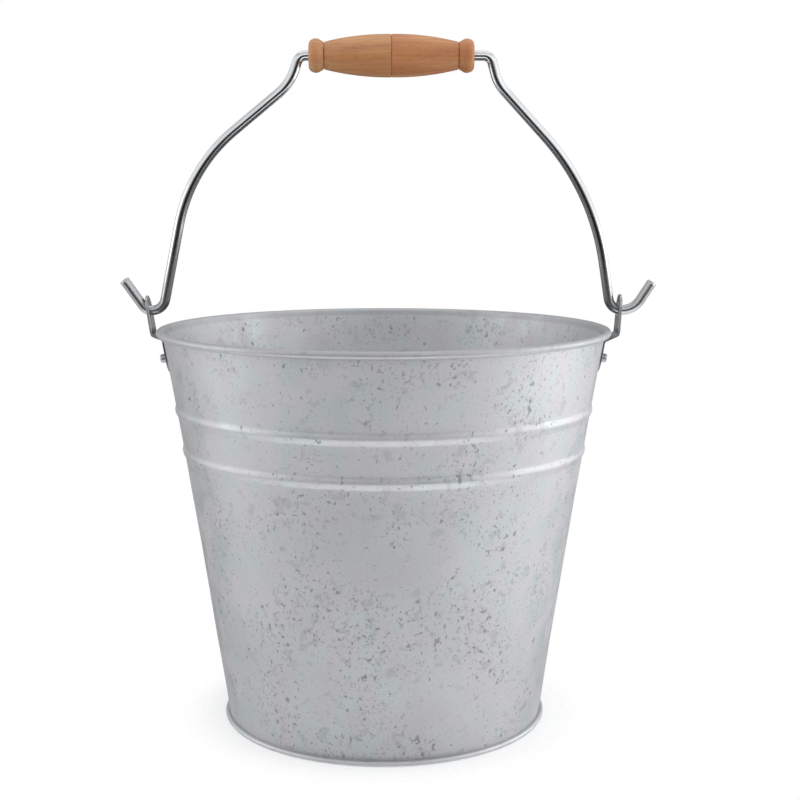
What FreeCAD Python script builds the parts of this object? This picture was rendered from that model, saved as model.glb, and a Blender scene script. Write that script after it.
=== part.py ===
import FreeCAD, Part
import math
import os
import Sketcher

# A ten-litre florist bucket: a zinc-coated sheet bucket with two swaged ribs, a wired rim and a seamed-in
# bottom, two riveted ears, and a bent wire bail that carries a turned beech grip made in two halves.
# Millimetres. The origin is the centre of the base, on the floor; +Z is up and +X runs through the ears.

DIMENSIONS = [
    # alias, value, what it is
    ("sheet_gauge", 0.6, "zinc-coated sheet of the wall and the bottom"),
    ("seam_gap", 0.05, "clearance between rolled sheets and what they are rolled around"),
    ("foot_radius", 98.0, "outside of the wall where it meets the base"),
    ("mouth_radius", 135.3, "outside of the wall at the middle of the rim bead"),
    ("mouth_height", 241.85, "height of the middle of the rim bead"),
    ("flare_sag", 1.0, "how far the wall bows inwards half way up"),
    ("rim_bead_radius", 2.2, "outside of the rolled rim bead"),
    ("rib_height", 1.0, "how far a swaged rib stands out of the wall"),
    ("rib_half_width", 3.5, "half of the height of a rib's band"),
    ("lower_rib_z", 170.0, "crest of the lower rib"),
    ("upper_rib_z", 195.0, "crest of the upper rib"),
    ("flange_radius", 99.6, "rim of the wall's foot flange, inside the base seam"),
    ("seam_radius", 100.95, "outside of the base seam"),
    ("seam_height", 3.0, "height of the base seam"),
    ("panel_height", 3.5, "underside of the raised bottom panel"),
    ("skirt_radius", 97.3, "outside of the bottom's skirt, inside the wall's foot"),
    ("lip_radius", 98.65, "inner edge of the seam's folded lip"),
    ("ear_gauge", 1.5, "steel strip of an ear"),
    ("ear_gap", 0.1, "clearance between an ear and the wall"),
    ("ear_top_radius", 8.0, "round top of an ear"),
    ("ear_foot_radius", 8.8, "half of an ear's width below, and the radius of its round foot"),
    ("ear_trim", 1.0, "spare length of the strip, which the round ends are cut from"),
    ("ear_foot_z", 216.0, "lowest point of an ear"),
    ("ear_shelf_z", 240.0, "where an ear turns up again, outside the rim bead"),
    ("ear_bend", 1.2, "inside radius of an ear's two bends"),
    ("ear_eye_radius", 4.6, "eye that the bail hooks through"),
    ("pivot_z", 254.8, "height of the bail's axis, the middle of the eyes"),
    ("rivet_z", 225.0, "height of the rivets"),
    ("rivet_hole_radius", 2.25, "holes for a rivet in the wall and in the ear"),
    ("rivet_shank_radius", 2.0, "shank of a rivet"),
    ("rivet_dome_radius", 2.7, "outer head of a rivet"),
    ("rivet_dome_height", 4.0, "how far that head stands out of the ear"),
    ("rivet_shoulder_share", 0.6, "how much of that height is the head's straight side"),
    ("rivet_dome_bend", 2.3, "radius of the head's rounded shoulder"),
    ("rivet_flat_radius", 0.9, "flat on the top of that head"),
    ("rivet_cap_radius", 4.0, "flat head of a rivet, inside the bucket"),
    ("rivet_cap_chamfer_share", 0.4, "how much of the flat head's thickness its edge is broken by"),
    ("rivet_cap_height", 1.0, "thickness of that head"),
    ("rivet_slack", 0.1, "clearance under each head of a rivet"),
    ("wire_radius", 3.0, "bail wire"),
    ("grip_z", 407.4, "height of the grip's axis with the bail upright"),
    ("hook_z", 254.2, "lowest point of the wire's axis in its two hooks"),
    ("shoulder_bend", 5.5, "bend radius of the wire's axis beside the grip"),
    ("tip_chamfer", 0.6, "broken edge of the cut wire"),
    ("grip_bore_radius", 3.08, "bore of the grip, a running fit on the wire"),
    ("grip_seam_x", 4.75, "where the two halves of the grip meet"),
    ("grip_half_length", 49.7, "length of one half"),
    ("grip_half_gap", 0.1, "each half stops this short of the seam"),
    ("grip_belly_radius", 12.8, "grip at the seam"),
    ("grip_belly_arc", 160.0, "radius of the curve from the seam to the neck"),
    ("grip_neck_radius", 8.1, "grip in the neck groove"),
    ("grip_neck_from_end", 9.3, "distance of the neck from the grip's end"),
    ("grip_bead_radius", 10.15, "round bead at the end of the grip"),
    ("grip_bead_from_end", 4.6, "distance of that bead's crest from the end"),
    ("grip_end_radius", 6.2, "flat end face of the grip"),
    ("grip_edge_break", 0.5, "chamfer of a half at the seam"),
]

# The two sides differ, since wire and ears are bent by hand. First come the corners of the bail's axis, as
# distance from the middle and height: shoulder beside the grip, neck, bow, foot of the leg, hook, tip. Then
# the radii of its bends, and the ear's corners: where it leaves the wall, where it turns up, and its top.
SIDES = {
    "left": {
        "shoulder_x": -50.8, "neck_x": -56.2, "neck_z": 391.1, "bow_x": -117.9, "bow_z": 340.6,
        "leg_x": -135.7, "hook_x": -146.2, "tip_x": -159.4, "tip_z": 273.0,
        "neck_bend": 32.0, "bow_bend": 99.0, "leg_bend": 8.5, "hook_bend": 6.2,
        "ear_knee_z": 237.2, "ear_shelf_x": 141.4, "ear_top_x": 144.9, "ear_top_z": 263.4,
    },
    "right": {
        "shoulder_x": 64.4, "neck_x": 68.9, "neck_z": 391.0, "bow_x": 128.0, "bow_z": 327.0,
        "leg_x": 139.6, "hook_x": 154.1, "tip_x": 165.2, "tip_z": 271.6,
        "neck_bend": 26.0, "bow_bend": 146.0, "leg_bend": 8.4, "hook_bend": 13.2,
        "ear_knee_z": 236.0, "ear_shelf_x": 143.3, "ear_top_x": 144.9, "ear_top_z": 264.0,
    },
}

document = FreeCAD.newDocument("florist_bucket")
SHEET = "dims"
LEFT = 1
RIGHT = -1


# ---------------------------------------------------------------------------------------------------
# The sheet of driving dimensions


def fill_sheet():
    """Writes every driving dimension into the spreadsheet, one alias to a row."""
    made = document.addObject("Spreadsheet::Sheet", SHEET)
    rows = list(DIMENSIONS)
    for side, sizes in SIDES.items():
        rows += [(f"{side}_{name}", number, f"{side} side") for name, number in sizes.items()]
    for row, (alias, value, meaning) in enumerate(rows, start=1):
        made.set(f"A{row}", alias)
        made.set(f"B{row}", str(value))
        made.set(f"C{row}", meaning)
        made.setAlias(f"B{row}", alias)
    document.recompute()
    return made


sheet = fill_sheet()


def size(alias):
    """A driving dimension, as an expression."""
    return f"{SHEET}.{alias}"


def value(expression):
    """What an expression comes to, in millimetres."""
    return float(sheet.evalExpression(str(expression)))


def wall_at(height):
    """The outside radius of the wall at a height, as an expression."""
    rise = f"(({height}) / {size('mouth_height')})"
    span = f"({size('mouth_radius')} - {size('foot_radius')})"
    sag = f"4 * {size('flare_sag')} * {rise} * (1 - {rise})"
    return f"({size('foot_radius')} + {span} * {rise} - {sag})"


# ---------------------------------------------------------------------------------------------------
# Sketches: corners at expressions, joined by lines or arcs


def sharp(x, y):
    """A plain corner."""
    return {"x": str(x), "y": str(y)}


def rounded(x, y, radius):
    """A corner between two lines that an arc of this radius rounds off."""
    return {"x": str(x), "y": str(y), "round": str(radius)}


def arc_from(x, y, radius, side):
    """A corner from which an arc, not a line, runs to the next one and bulges to that side of the way."""
    return {"x": str(x), "y": str(y), "arc": str(radius), "side": side}


def new_sketch(body, name, role):
    """An empty sketch on one of the body's own origin planes."""
    sketch = body.newObject("Sketcher::SketchObject", name)
    plane = next(f for f in body.Origin.OriginFeatures if f.Role == role)
    sketch.AttachmentSupport = [(plane, "")]
    sketch.MapMode = "FlatFace"
    return sketch


def drive(sketch, constraint, expression):
    """Adds a constraint with a size, bound to an expression."""
    index = sketch.addConstraint(Sketcher.Constraint(*constraint, value(expression)))
    sketch.setExpression(f"Constraints[{index}]", expression)


def pin_point(sketch, edge, end, place):
    """Holds a point of the sketch at a corner's two expressions."""
    drive(sketch, ("DistanceX", -1, 1, edge, end), place["x"])
    drive(sketch, ("DistanceY", -1, 1, edge, end), place["y"])


def add_arc(sketch, start, finish, radius, side):
    """Adds the short arc between two points. Returns its number and which of its ends is which point."""
    chord = finish - start
    across = FreeCAD.Vector(-chord.y, chord.x, 0).normalize() * side
    depth = math.sqrt(max(radius**2 - (chord.Length / 2) ** 2, 0))
    centre = (start + finish) / 2 - across * depth
    first, last = (finish, start) if side == LEFT else (start, finish)
    angles = [math.atan2(p.y - centre.y, p.x - centre.x) for p in (first, last)]
    if angles[1] < angles[0]:
        angles[1] += 2 * math.pi
    circle = Part.Circle(centre, FreeCAD.Vector(0, 0, 1), radius)
    edge = sketch.addGeometry(Part.ArcOfCircle(circle, *angles))
    return (edge, 2, 1) if side == LEFT else (edge, 1, 2)


def outline(body, name, role, corners, closed=True):
    """Draws corners in order as one wire, fully constrained by their expressions."""
    sketch = new_sketch(body, name, role)
    points = [FreeCAD.Vector(value(c["x"]), value(c["y"]), 0) for c in corners]
    count = len(corners)
    edges = count if closed else count - 1
    cuts = []
    for i, corner in enumerate(corners):
        cut = 0.0
        if "round" in corner:
            turn = (points[i] - points[i - 1]).getAngle(points[(i + 1) % count] - points[i])
            cut = value(corner["round"]) * math.tan(turn / 2)
        cuts.append(cut)

    drawn = []
    for i in range(edges):
        j = (i + 1) % count
        if "arc" in corners[i]:
            radius = value(corners[i]["arc"])
            drawn.append(add_arc(sketch, points[i], points[j], radius, corners[i]["side"]))
            continue
        way = (points[j] - points[i]).normalize()
        line = Part.LineSegment(points[i] + way * cuts[i], points[j] - way * cuts[j])
        drawn.append((sketch.addGeometry(line), 1, 2))

    for i, corner in enumerate(corners):
        before = drawn[i - 1] if closed or i > 0 else None
        after = drawn[i] if i < edges else None
        if "round" in corner:
            mark = sketch.addGeometry(Part.Point(points[i]), True)
            pin_point(sketch, mark, 1, corner)
            arrives = points[i] - (points[i] - points[i - 1]).normalize() * cuts[i]
            leaves = points[i] + (points[(i + 1) % count] - points[i]).normalize() * cuts[i]
            turn = (points[i] - points[i - 1]).cross(points[(i + 1) % count] - points[i]).z
            side = RIGHT if turn > 0 else LEFT
            bend = add_arc(sketch, arrives, leaves, value(corner["round"]), side)
            sketch.addConstraint(Sketcher.Constraint("PointOnObject", mark, 1, before[0]))
            sketch.addConstraint(Sketcher.Constraint("PointOnObject", mark, 1, after[0]))
            sketch.addConstraint(Sketcher.Constraint("Tangent", before[0], before[2], bend[0], bend[1]))
            sketch.addConstraint(Sketcher.Constraint("Tangent", bend[0], bend[2], after[0], after[1]))
            drive(sketch, ("Radius", bend[0]), corner["round"])
            continue
        if after is not None:
            pin_point(sketch, after[0], after[1], corner)
        else:
            pin_point(sketch, before[0], before[2], corner)
        if before is not None and after is not None:
            joint = ("Coincident", before[0], before[2], after[0], after[1])
            sketch.addConstraint(Sketcher.Constraint(*joint))
    for i in range(edges):
        if "arc" in corners[i]:
            drive(sketch, ("Radius", drawn[i][0]), corners[i]["arc"])
    document.recompute()
    if not sketch.FullyConstrained:
        raise RuntimeError(f"sketch {name} isn't fully constrained")
    return sketch


def ring_sketch(body, name, role, x, y, radius):
    """A sketch of one circle."""
    sketch = new_sketch(body, name, role)
    centre = FreeCAD.Vector(value(x), value(y), 0)
    edge = sketch.addGeometry(Part.Circle(centre, FreeCAD.Vector(0, 0, 1), value(radius)))
    drive(sketch, ("DistanceX", -1, 1, edge, 3), str(x))
    drive(sketch, ("DistanceY", -1, 1, edge, 3), str(y))
    drive(sketch, ("Radius", edge), str(radius))
    document.recompute()
    return sketch


# ---------------------------------------------------------------------------------------------------
# Features


def new_body(name):
    """An empty body whose label is the node's name."""
    body = document.addObject("PartDesign::Body", name)
    body.Label = name
    return body


def revolve(body, sketch, axis="V_Axis"):
    """Turns a sketch once round one of its own axes."""
    turned = body.newObject("PartDesign::Revolution", f"{body.Name}_turned")
    turned.Profile = sketch
    turned.ReferenceAxis = (sketch, [axis])
    turned.Angle = 360
    document.recompute()
    return turned


def pocket_through(body, sketch, name):
    """Cuts a sketch right through the body, both ways, and checks that material went."""
    before = body.Shape.Volume
    pocket = body.newObject("PartDesign::Pocket", name)
    pocket.Profile = sketch
    pocket.Type = "ThroughAll"
    pocket.Midplane = True
    document.recompute()
    if not body.Shape.Volume < before - 1e-6:
        raise RuntimeError(f"{name} cut nothing")
    return pocket


# ---------------------------------------------------------------------------------------------------
# The bucket


def rib(z):
    """The corners of the wall's outside over one rib: up to its crest and down again, as two arcs."""
    height = size("rib_height")
    half = size("rib_half_width")
    low, high = f"({z} - {half})", f"({z} + {half})"
    # the arc through the band's two edges and the crest; each half of it is drawn on its own
    radius = f"({half} * {half} + {height} * {height}) / (2 * {height})"
    return low, high, radius


def bucket_wall():
    """The wall: foot flange, cone with two ribs, and the rim rolled outwards round its wire."""
    body = new_body("bucket_wall")
    gauge = size("sheet_gauge")
    foot = f"({gauge} + {size('seam_gap')})"
    flange_top = f"({foot} + {gauge})"
    bead, bead_z = size("rim_bead_radius"), size("mouth_height")
    inside = f"({bead} - {gauge})"
    bead_x = f"({size('mouth_radius')} - {gauge} + {bead})"
    slant = "0.7071"

    outside = [sharp(size("flange_radius"), foot), sharp(size("flange_radius"), flange_top)]
    outside.append(sharp(wall_at(flange_top), flange_top))
    inner = [sharp(f"{wall_at(foot)} - {gauge}", foot)]
    for z in (size("lower_rib_z"), size("upper_rib_z")):
        low, high, radius = rib(z)
        crest = f"({wall_at(z)} + {size('rib_height')})"
        outside.append(arc_from(wall_at(low), low, radius, RIGHT))
        outside.append(arc_from(crest, z, radius, RIGHT))
        outside.append(sharp(wall_at(high), high))
        inner.append(sharp(f"{wall_at(low)} - {gauge}", low))
        inner.append(sharp(f"{crest} - {gauge}", z))
        inner.append(sharp(f"{wall_at(high)} - {gauge}", high))

    # the curl, from the wall's outside over the wire and under it, then back along its outside
    outside += [
        arc_from(f"{bead_x} - {inside}", bead_z, inside, LEFT),
        arc_from(bead_x, f"{bead_z} + {inside}", inside, LEFT),
        arc_from(f"{bead_x} + {inside}", bead_z, inside, LEFT),
        arc_from(bead_x, f"{bead_z} - {inside}", inside, LEFT),
        sharp(f"{bead_x} - {inside} * {slant}", f"{bead_z} - {inside} * {slant}"),
        arc_from(f"{bead_x} - {bead} * {slant}", f"{bead_z} - {bead} * {slant}", bead, RIGHT),
        arc_from(bead_x, f"{bead_z} - {bead}", bead, RIGHT),
        arc_from(f"{bead_x} + {bead}", bead_z, bead, RIGHT),
        arc_from(bead_x, f"{bead_z} + {bead}", bead, RIGHT),
        sharp(f"{bead_x} - {bead}", bead_z),
    ]
    revolve(body, outline(body, "wall_profile", "XZ_Plane", outside + inner[::-1]))
    holes = ring_sketch(body, "rivet_holes", "YZ_Plane", 0, size("rivet_z"), size("rivet_hole_radius"))
    pocket_through(body, holes, "rivet_holes_cut")
    return body


def rim_wire():
    """The steel ring that the rim is rolled round."""
    ring = document.addObject("Part::Torus", "rim_wire")
    ring.Label = "rim_wire"
    bead = f"{size('rim_bead_radius')} - {size('sheet_gauge')}"
    ring.setExpression("Radius1", f"{size('mouth_radius')} + {bead}")
    ring.setExpression("Radius2", f"{bead} - {size('seam_gap')}")
    ring.setExpression("Placement.Base.z", size("mouth_height"))
    return ring


def bottom_disc():
    """The bottom: raised panel, skirt inside the wall, and the edge folded round the wall's flange."""
    body = new_body("bottom_disc")
    gauge = size("sheet_gauge")
    fold = f"({size('seam_height')} / 2)"
    fold_in = f"({fold} - {gauge})"
    fold_x = f"({size('seam_radius')} - {fold})"
    panel = size("panel_height")
    skirt = size("skirt_radius")
    corners = [
        sharp(0, panel),
        sharp(f"{skirt} - {gauge}", panel),
        sharp(f"{skirt} - {gauge}", 0),
        arc_from(fold_x, 0, fold, RIGHT),
        arc_from(size("seam_radius"), fold, fold, RIGHT),
        sharp(fold_x, size("seam_height")),
        sharp(size("lip_radius"), size("seam_height")),
        sharp(size("lip_radius"), f"{size('seam_height')} - {gauge}"),
        arc_from(fold_x, f"{size('seam_height')} - {gauge}", fold_in, LEFT),
        arc_from(f"{fold_x} + {fold_in}", fold, fold_in, LEFT),
        sharp(fold_x, gauge),
        sharp(skirt, gauge),
        sharp(skirt, f"{panel} + {gauge}"),
        sharp(0, f"{panel} + {gauge}"),
    ]
    revolve(body, outline(body, "bottom_profile", "XZ_Plane", corners))
    return body


# ---------------------------------------------------------------------------------------------------
# The ears and their rivets


def turned_about(side):
    """A right-hand piece stays where it is, and a left-hand one is turned half round the bucket's axis."""
    angle = 0 if side == "right" else 180
    return FreeCAD.Placement(FreeCAD.Vector(), FreeCAD.Rotation(FreeCAD.Vector(0, 0, 1), angle))


def ear(side):
    """A strip bent out under the rim bead and up, with round ends, an eye and a rivet hole."""
    body = new_body(f"ear_{side}")
    gauge = size("ear_gauge")
    foot, knee = size("ear_foot_z"), size(f"{side}_ear_knee_z")
    gap = size("ear_gap")
    bend, outer_bend = size("ear_bend"), f"({size('ear_bend')} + {gauge})"
    shelf_x, shelf_z = size(f"{side}_ear_shelf_x"), size("ear_shelf_z")
    top_x, top_z = size(f"{side}_ear_top_x"), size(f"{side}_ear_top_z")
    spare = size("ear_trim")
    # between its two bends the strip slopes, so its lower face's corners sit lower than its upper face's
    slope = f"(({shelf_z} - {knee}) / ({shelf_x} - {wall_at(knee)}))"
    drop = f"({gauge} * (sqrt(1 + {slope}^2) - {slope}))"
    lean = f"(({wall_at(knee)} - {wall_at(foot)}) / ({knee} - {foot}))"
    knee_drop = f"({drop} / (1 - {slope} * {lean}))"
    foot_x = f"{wall_at(foot)} - {lean} * {spare} + {gap}"
    strip = [
        sharp(foot_x, f"{foot} - {spare}"),
        sharp(f"{foot_x} + {gauge}", f"{foot} - {spare}"),
        rounded(f"{wall_at(knee)} - {lean} * {knee_drop} + {gap} + {gauge}", f"{knee} - {knee_drop}", bend),
        rounded(f"{shelf_x} + {gauge}", f"{shelf_z} - {drop}", outer_bend),
        sharp(f"{top_x} + {gauge}", f"{top_z} + {spare}"),
        sharp(top_x, f"{top_z} + {spare}"),
        rounded(shelf_x, shelf_z, bend),
        rounded(f"{wall_at(knee)} + {gap}", knee, outer_bend),
    ]
    pad = body.newObject("PartDesign::Pad", f"ear_{side}_pad")
    pad.Profile = outline(body, f"ear_{side}_strip", "XZ_Plane", strip)
    pad.Midplane = True
    pad.setExpression("Length", f"2 * {size('ear_foot_radius')} + 2 * {spare}")
    document.recompute()

    top_radius, foot_radius = size("ear_top_radius"), size("ear_foot_radius")
    for hand, sign, bulge in (("front", "-1", RIGHT), ("back", "1", LEFT)):
        waste = [
            sharp(0, f"{top_z} + 2 * {spare}"),
            arc_from(0, top_z, top_radius, bulge),
            sharp(f"{sign} * {top_radius}", f"{top_z} - {top_radius}"),
            sharp(f"{sign} * {foot_radius}", shelf_z),
            arc_from(f"{sign} * {foot_radius}", f"{foot} + {foot_radius}", foot_radius, bulge),
            sharp(0, foot),
            sharp(0, f"{foot} - 2 * {spare}"),
            sharp(f"{sign} * ({foot_radius} + 2 * {spare})", f"{foot} - 2 * {spare}"),
            sharp(f"{sign} * ({foot_radius} + 2 * {spare})", f"{top_z} + 2 * {spare}"),
        ]
        sketch = outline(body, f"ear_{side}_{hand}_waste", "YZ_Plane", waste)
        pocket_through(body, sketch, f"ear_{side}_{hand}_trim")
    for name, z, radius in (("eye", "pivot_z", "ear_eye_radius"), ("hole", "rivet_z", "rivet_hole_radius")):
        circle = ring_sketch(body, f"ear_{side}_{name}", "YZ_Plane", 0, size(z), size(radius))
        pocket_through(body, circle, f"ear_{side}_{name}_cut")
    body.Placement = turned_about(side)
    return body


def rivet(side):
    """A domed head outside the ear, a shank through ear and wall, and a flat head inside."""
    body = new_body(f"rivet_{side}")
    shank, dome = size("rivet_shank_radius"), size("rivet_dome_radius")
    dome_top = size("rivet_dome_height")
    cap, cap_height = size("rivet_cap_radius"), size("rivet_cap_height")
    grip = f"({size('ear_gauge')} + {size('ear_gap')} + {size('sheet_gauge')} + 2 * {size('rivet_slack')})"
    shoulder = f"({dome_top} * {size('rivet_shoulder_share')})"
    cap_edge = f"({cap_height} * {size('rivet_cap_chamfer_share')})"
    corners = [
        sharp(0, f"-{grip} - {cap_height}"),
        sharp(f"{cap} - {cap_edge}", f"-{grip} - {cap_height}"),
        sharp(cap, f"-{grip} - {cap_height} + {cap_edge}"),
        sharp(cap, f"-{grip}"),
        sharp(shank, f"-{grip}"),
        sharp(shank, 0),
        sharp(dome, 0),
        arc_from(dome, shoulder, size("rivet_dome_bend"), RIGHT),
        sharp(size("rivet_flat_radius"), dome_top),
        sharp(0, dome_top),
    ]
    revolve(body, outline(body, f"rivet_{side}_profile", "XZ_Plane", corners))

    z = value(size("rivet_z"))
    step = 1.0
    slope = (value(wall_at(z + step)) - value(wall_at(z - step))) / (2 * step)
    outward = FreeCAD.Vector(1, 0, -slope).normalize()
    # the shank crosses the middle of the wall and the ear at the height of their holes
    sheet_gauge = value(size("sheet_gauge"))
    half_stack = (value(size("ear_gap")) + value(size("ear_gauge")) + sheet_gauge) / 2
    middle = FreeCAD.Vector(value(wall_at(z)) + half_stack - sheet_gauge, 0, z)
    seat = middle + outward * (half_stack + value(size("rivet_slack")))
    leaned = FreeCAD.Placement(seat, FreeCAD.Rotation(FreeCAD.Vector(0, 0, 1), outward))
    body.Placement = turned_about(side).multiply(leaned)
    return body


# ---------------------------------------------------------------------------------------------------
# The bail and its grip


def bail_axis(body, side):
    """The axis of the wire on one side, from the middle of the grip to the tip of the hook."""
    def at(name):
        return size(f"{side}_{name}")

    grip_z, hook_z = size("grip_z"), size("hook_z")
    corners = [
        sharp(0, grip_z),
        rounded(at("shoulder_x"), grip_z, size("shoulder_bend")),
        rounded(at("neck_x"), at("neck_z"), at("neck_bend")),
        rounded(at("bow_x"), at("bow_z"), at("bow_bend")),
        rounded(at("leg_x"), hook_z, at("leg_bend")),
        rounded(at("hook_x"), hook_z, at("hook_bend")),
        sharp(at("tip_x"), at("tip_z")),
    ]
    return outline(body, f"bail_{side}_axis", "XZ_Plane", corners, closed=False)


def bail_wire():
    """One round wire bent to shape, swept each way from the middle of the grip, its cut ends broken."""
    body = new_body("bail_wire")
    for side in SIDES:
        path = bail_axis(body, side)
        name = f"bail_{side}_section"
        section = ring_sketch(body, name, "YZ_Plane", 0, size("grip_z"), size("wire_radius"))
        pipe = body.newObject("PartDesign::AdditivePipe", f"bail_{side}")
        pipe.Profile = section
        pipe.Spine = path
        document.recompute()
    swept = body.Tip
    chamfer = body.newObject("PartDesign::Chamfer", "bail_tips")
    chamfer.Base = (swept, cut_ends(swept.Shape))
    chamfer.setExpression("Size", size("tip_chamfer"))
    document.recompute()
    return body


def cut_ends(shape):
    """The names of the edges round a shape's flat ends."""
    names = []
    for number, edge in enumerate(shape.Edges, start=1):
        faces = shape.ancestorsOfType(edge, Part.Face)
        if any(isinstance(face.Surface, Part.Plane) for face in faces):
            names.append(f"Edge{number}")
    return names


def grip_half(side):
    """Half of the turned grip: bored, with a belly at the seam, a neck groove and a round end bead."""
    body = new_body(f"grip_half_{side}")
    bore = size("grip_bore_radius")
    length = size("grip_half_length")
    gap, edge_break = size("grip_half_gap"), size("grip_edge_break")
    belly, neck, bead = size("grip_belly_radius"), size("grip_neck_radius"), size("grip_bead_radius")
    neck_x = f"({length} - {size('grip_neck_from_end')})"
    bead_x = f"({length} - {size('grip_bead_from_end')})"
    corners = [
        sharp(gap, bore),
        sharp(gap, f"{belly} - {edge_break}"),
        arc_from(f"{gap} + {edge_break}", belly, size("grip_belly_arc"), LEFT),
        arc_from(neck_x, neck, f"{size('grip_bead_from_end')} * 1.15", LEFT),
        arc_from(bead_x, bead, size("grip_bead_from_end"), LEFT),
        sharp(length, size("grip_end_radius")),
        sharp(length, bore),
    ]
    revolve(body, outline(body, f"grip_{side}_profile", "XZ_Plane", corners), "H_Axis")
    seam = FreeCAD.Vector(value(size("grip_seam_x")), 0, value(size("grip_z")))
    body.Placement = FreeCAD.Placement(seam, turned_about(side).Rotation)
    return body


# ---------------------------------------------------------------------------------------------------
# Build, check and write

PIECES = [
    bucket_wall(),
    rim_wire(),
    bottom_disc(),
    ear("left"),
    ear("right"),
    rivet("left"),
    rivet("right"),
    bail_wire(),
    grip_half("left"),
    grip_half("right"),
]
document.recompute()

for item in document.Objects:
    if "Invalid" in item.State or "Error" in item.State:
        raise RuntimeError(f"{item.Name} failed: {item.State}")
for piece in PIECES:
    shape = piece.Shape
    if shape.isNull() or not shape.isValid() or len(shape.Solids) != 1:
        raise RuntimeError(f"{piece.Label} isn't one valid solid")

os.makedirs("parts", exist_ok=True)
for piece in PIECES:
    piece.Shape.exportStep(f"parts/{piece.Label}.step")
    print(f"{piece.Label}: {piece.Shape.Volume / 1000:.2f} cm3")
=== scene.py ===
import math

import bmesh
import bpy
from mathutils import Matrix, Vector, noise
from mathutils.geometry import delaunay_2d_cdt


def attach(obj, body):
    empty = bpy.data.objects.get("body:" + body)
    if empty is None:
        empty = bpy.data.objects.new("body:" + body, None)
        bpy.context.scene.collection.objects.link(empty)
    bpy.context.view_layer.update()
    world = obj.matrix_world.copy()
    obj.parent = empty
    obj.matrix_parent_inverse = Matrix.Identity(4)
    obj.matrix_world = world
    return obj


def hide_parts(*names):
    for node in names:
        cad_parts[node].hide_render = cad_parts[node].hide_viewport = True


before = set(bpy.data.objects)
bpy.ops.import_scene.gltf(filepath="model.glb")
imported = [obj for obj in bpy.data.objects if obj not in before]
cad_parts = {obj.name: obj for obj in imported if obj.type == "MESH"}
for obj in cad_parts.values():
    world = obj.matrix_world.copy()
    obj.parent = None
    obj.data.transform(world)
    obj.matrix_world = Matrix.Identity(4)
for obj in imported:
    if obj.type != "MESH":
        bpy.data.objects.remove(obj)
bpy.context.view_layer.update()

# The looks of a zinc florist bucket: a flared sheet bucket with two swaged ribs, a wired rim and a
# seamed-in bottom, two riveted ears, and a bent wire bail with a turned beech grip in two halves.
# Shapes are worked out in millimetres, in the frame's own axes and to the sizes of the CAD model.
# Materials, lights and the camera are in metres.

MM, TINY = 0.001, 1e-6
WALL_SIDES, BOTTOM_SIDES, RIVET_SIDES, GRIP_SIDES, WIRE_SIDES = 336, 288, 56, 160, 44

# The bucket's wall. DENTS are the depths and widths of its hand and tool marks, and LAP_ANGLES are where
# the rim bead has a joint, in radians round the bucket.
SHEET, WALL_FOOT_Z = 0.6, 2.0
FOOT_R, MOUTH_R, MOUTH_Z, FLARE_SAG = 98.0, 135.3, 241.85, 1.0
RIB_Z, RIB_HEIGHT, RIB_REACH = (170.0, 195.0), 1.0, 4.2
BEAD_OUT, BEAD_IN = 2.18, 1.6
BEAD_CENTRE = (MOUTH_R + BEAD_IN, MOUTH_Z)
BEAD_START, BEAD_END = 170.0, -135.0
FLANGE_R, FLANGE_Z = 99.6, 0.65
WELD_ANGLE, WELD_HALF_WIDTH, WELD_HEIGHT, WELD_TOP_Z = math.pi, 1.6, 0.14, 214.0
DENTS = ((0.34, 58.0), (0.11, 21.0), (0.035, 9.0))
LAP_ANGLES, LAP_HALF_ANGLE = (-0.16, 3.03), 0.0035

# The bottom
PANEL_Z, PANEL_STEP_R, PANEL_STEP, STEP_WIDTH = 3.5, 78.0, 0.7, 3.0
SKIRT_R, FOLD_R, SEAM_R, LIP_R = 97.3, 1.5, 100.95, 98.65

# The ears and their rivets
EAR_GAUGE, EAR_GAP, EAR_BEND, EAR_EDGE = 1.5, 0.1, 1.2, 0.3
EAR_FOOT_Z, EAR_SHELF_Z, EAR_TOP_X = 216.0, 240.0, 144.9
EAR_KNEE_Z = {"left": 237.2, "right": 236.0}
EAR_SHELF_X = {"left": 141.4, "right": 143.3}
EAR_TOP_Z = {"left": 263.4, "right": 264.0}
EAR_TOP_R, EAR_FOOT_R, EYE_R, HOLE_R = 8.0, 8.8, 4.6, 2.25
PIVOT_Z, RIVET_Z = 254.8, 225.0
SHANK_R, DOME_R, DOME_Z, DOME_BEND = 2.0, 2.7, 4.0, 1.0
CAP_R, CAP_Z, CAP_BEND, RIVET_SLACK = 4.0, 1.0, 0.5, 0.1

# The bail: corners of the wire's axis as x, z and bend radius, from the left tip to the right tip
WIRE_R, TIP_CHAMFER = 3.0, 0.6
HOOK_Z, GRIP_Z, SHOULDER_BEND = 254.2, 407.4, 5.5
BAIL = (
    (-159.4, 273.0, 0),
    (-146.2, HOOK_Z, 6.2),
    (-135.7, HOOK_Z, 8.5),
    (-117.9, 340.6, 99.0),
    (-56.2, 391.1, 32.0),
    (-50.8, GRIP_Z, SHOULDER_BEND),
    (64.4, GRIP_Z, SHOULDER_BEND),
    (68.9, 391.0, 26.0),
    (128.0, 327.0, 146.0),
    (139.6, HOOK_Z, 8.4),
    (154.1, HOOK_Z, 13.2),
    (165.2, 271.6, 0),
)

# The grip, measured from its seam
GRIP_SEAM_X, GRIP_LENGTH, GRIP_GAP, GRIP_BORE = 4.75, 49.7, 0.02, 3.08
BELLY_R, BELLY_ARC, BELLY_BREAK = 12.8, 160.0, 0.5
NECK_R, NECK_X, GROOVE, GROOVE_HALF = 8.1, 40.4, 0.60, 0.45
BULB_R, BULB_X, GRIP_END_R, BORE_EDGE = 10.15, 45.1, 6.2, 0.35

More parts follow.
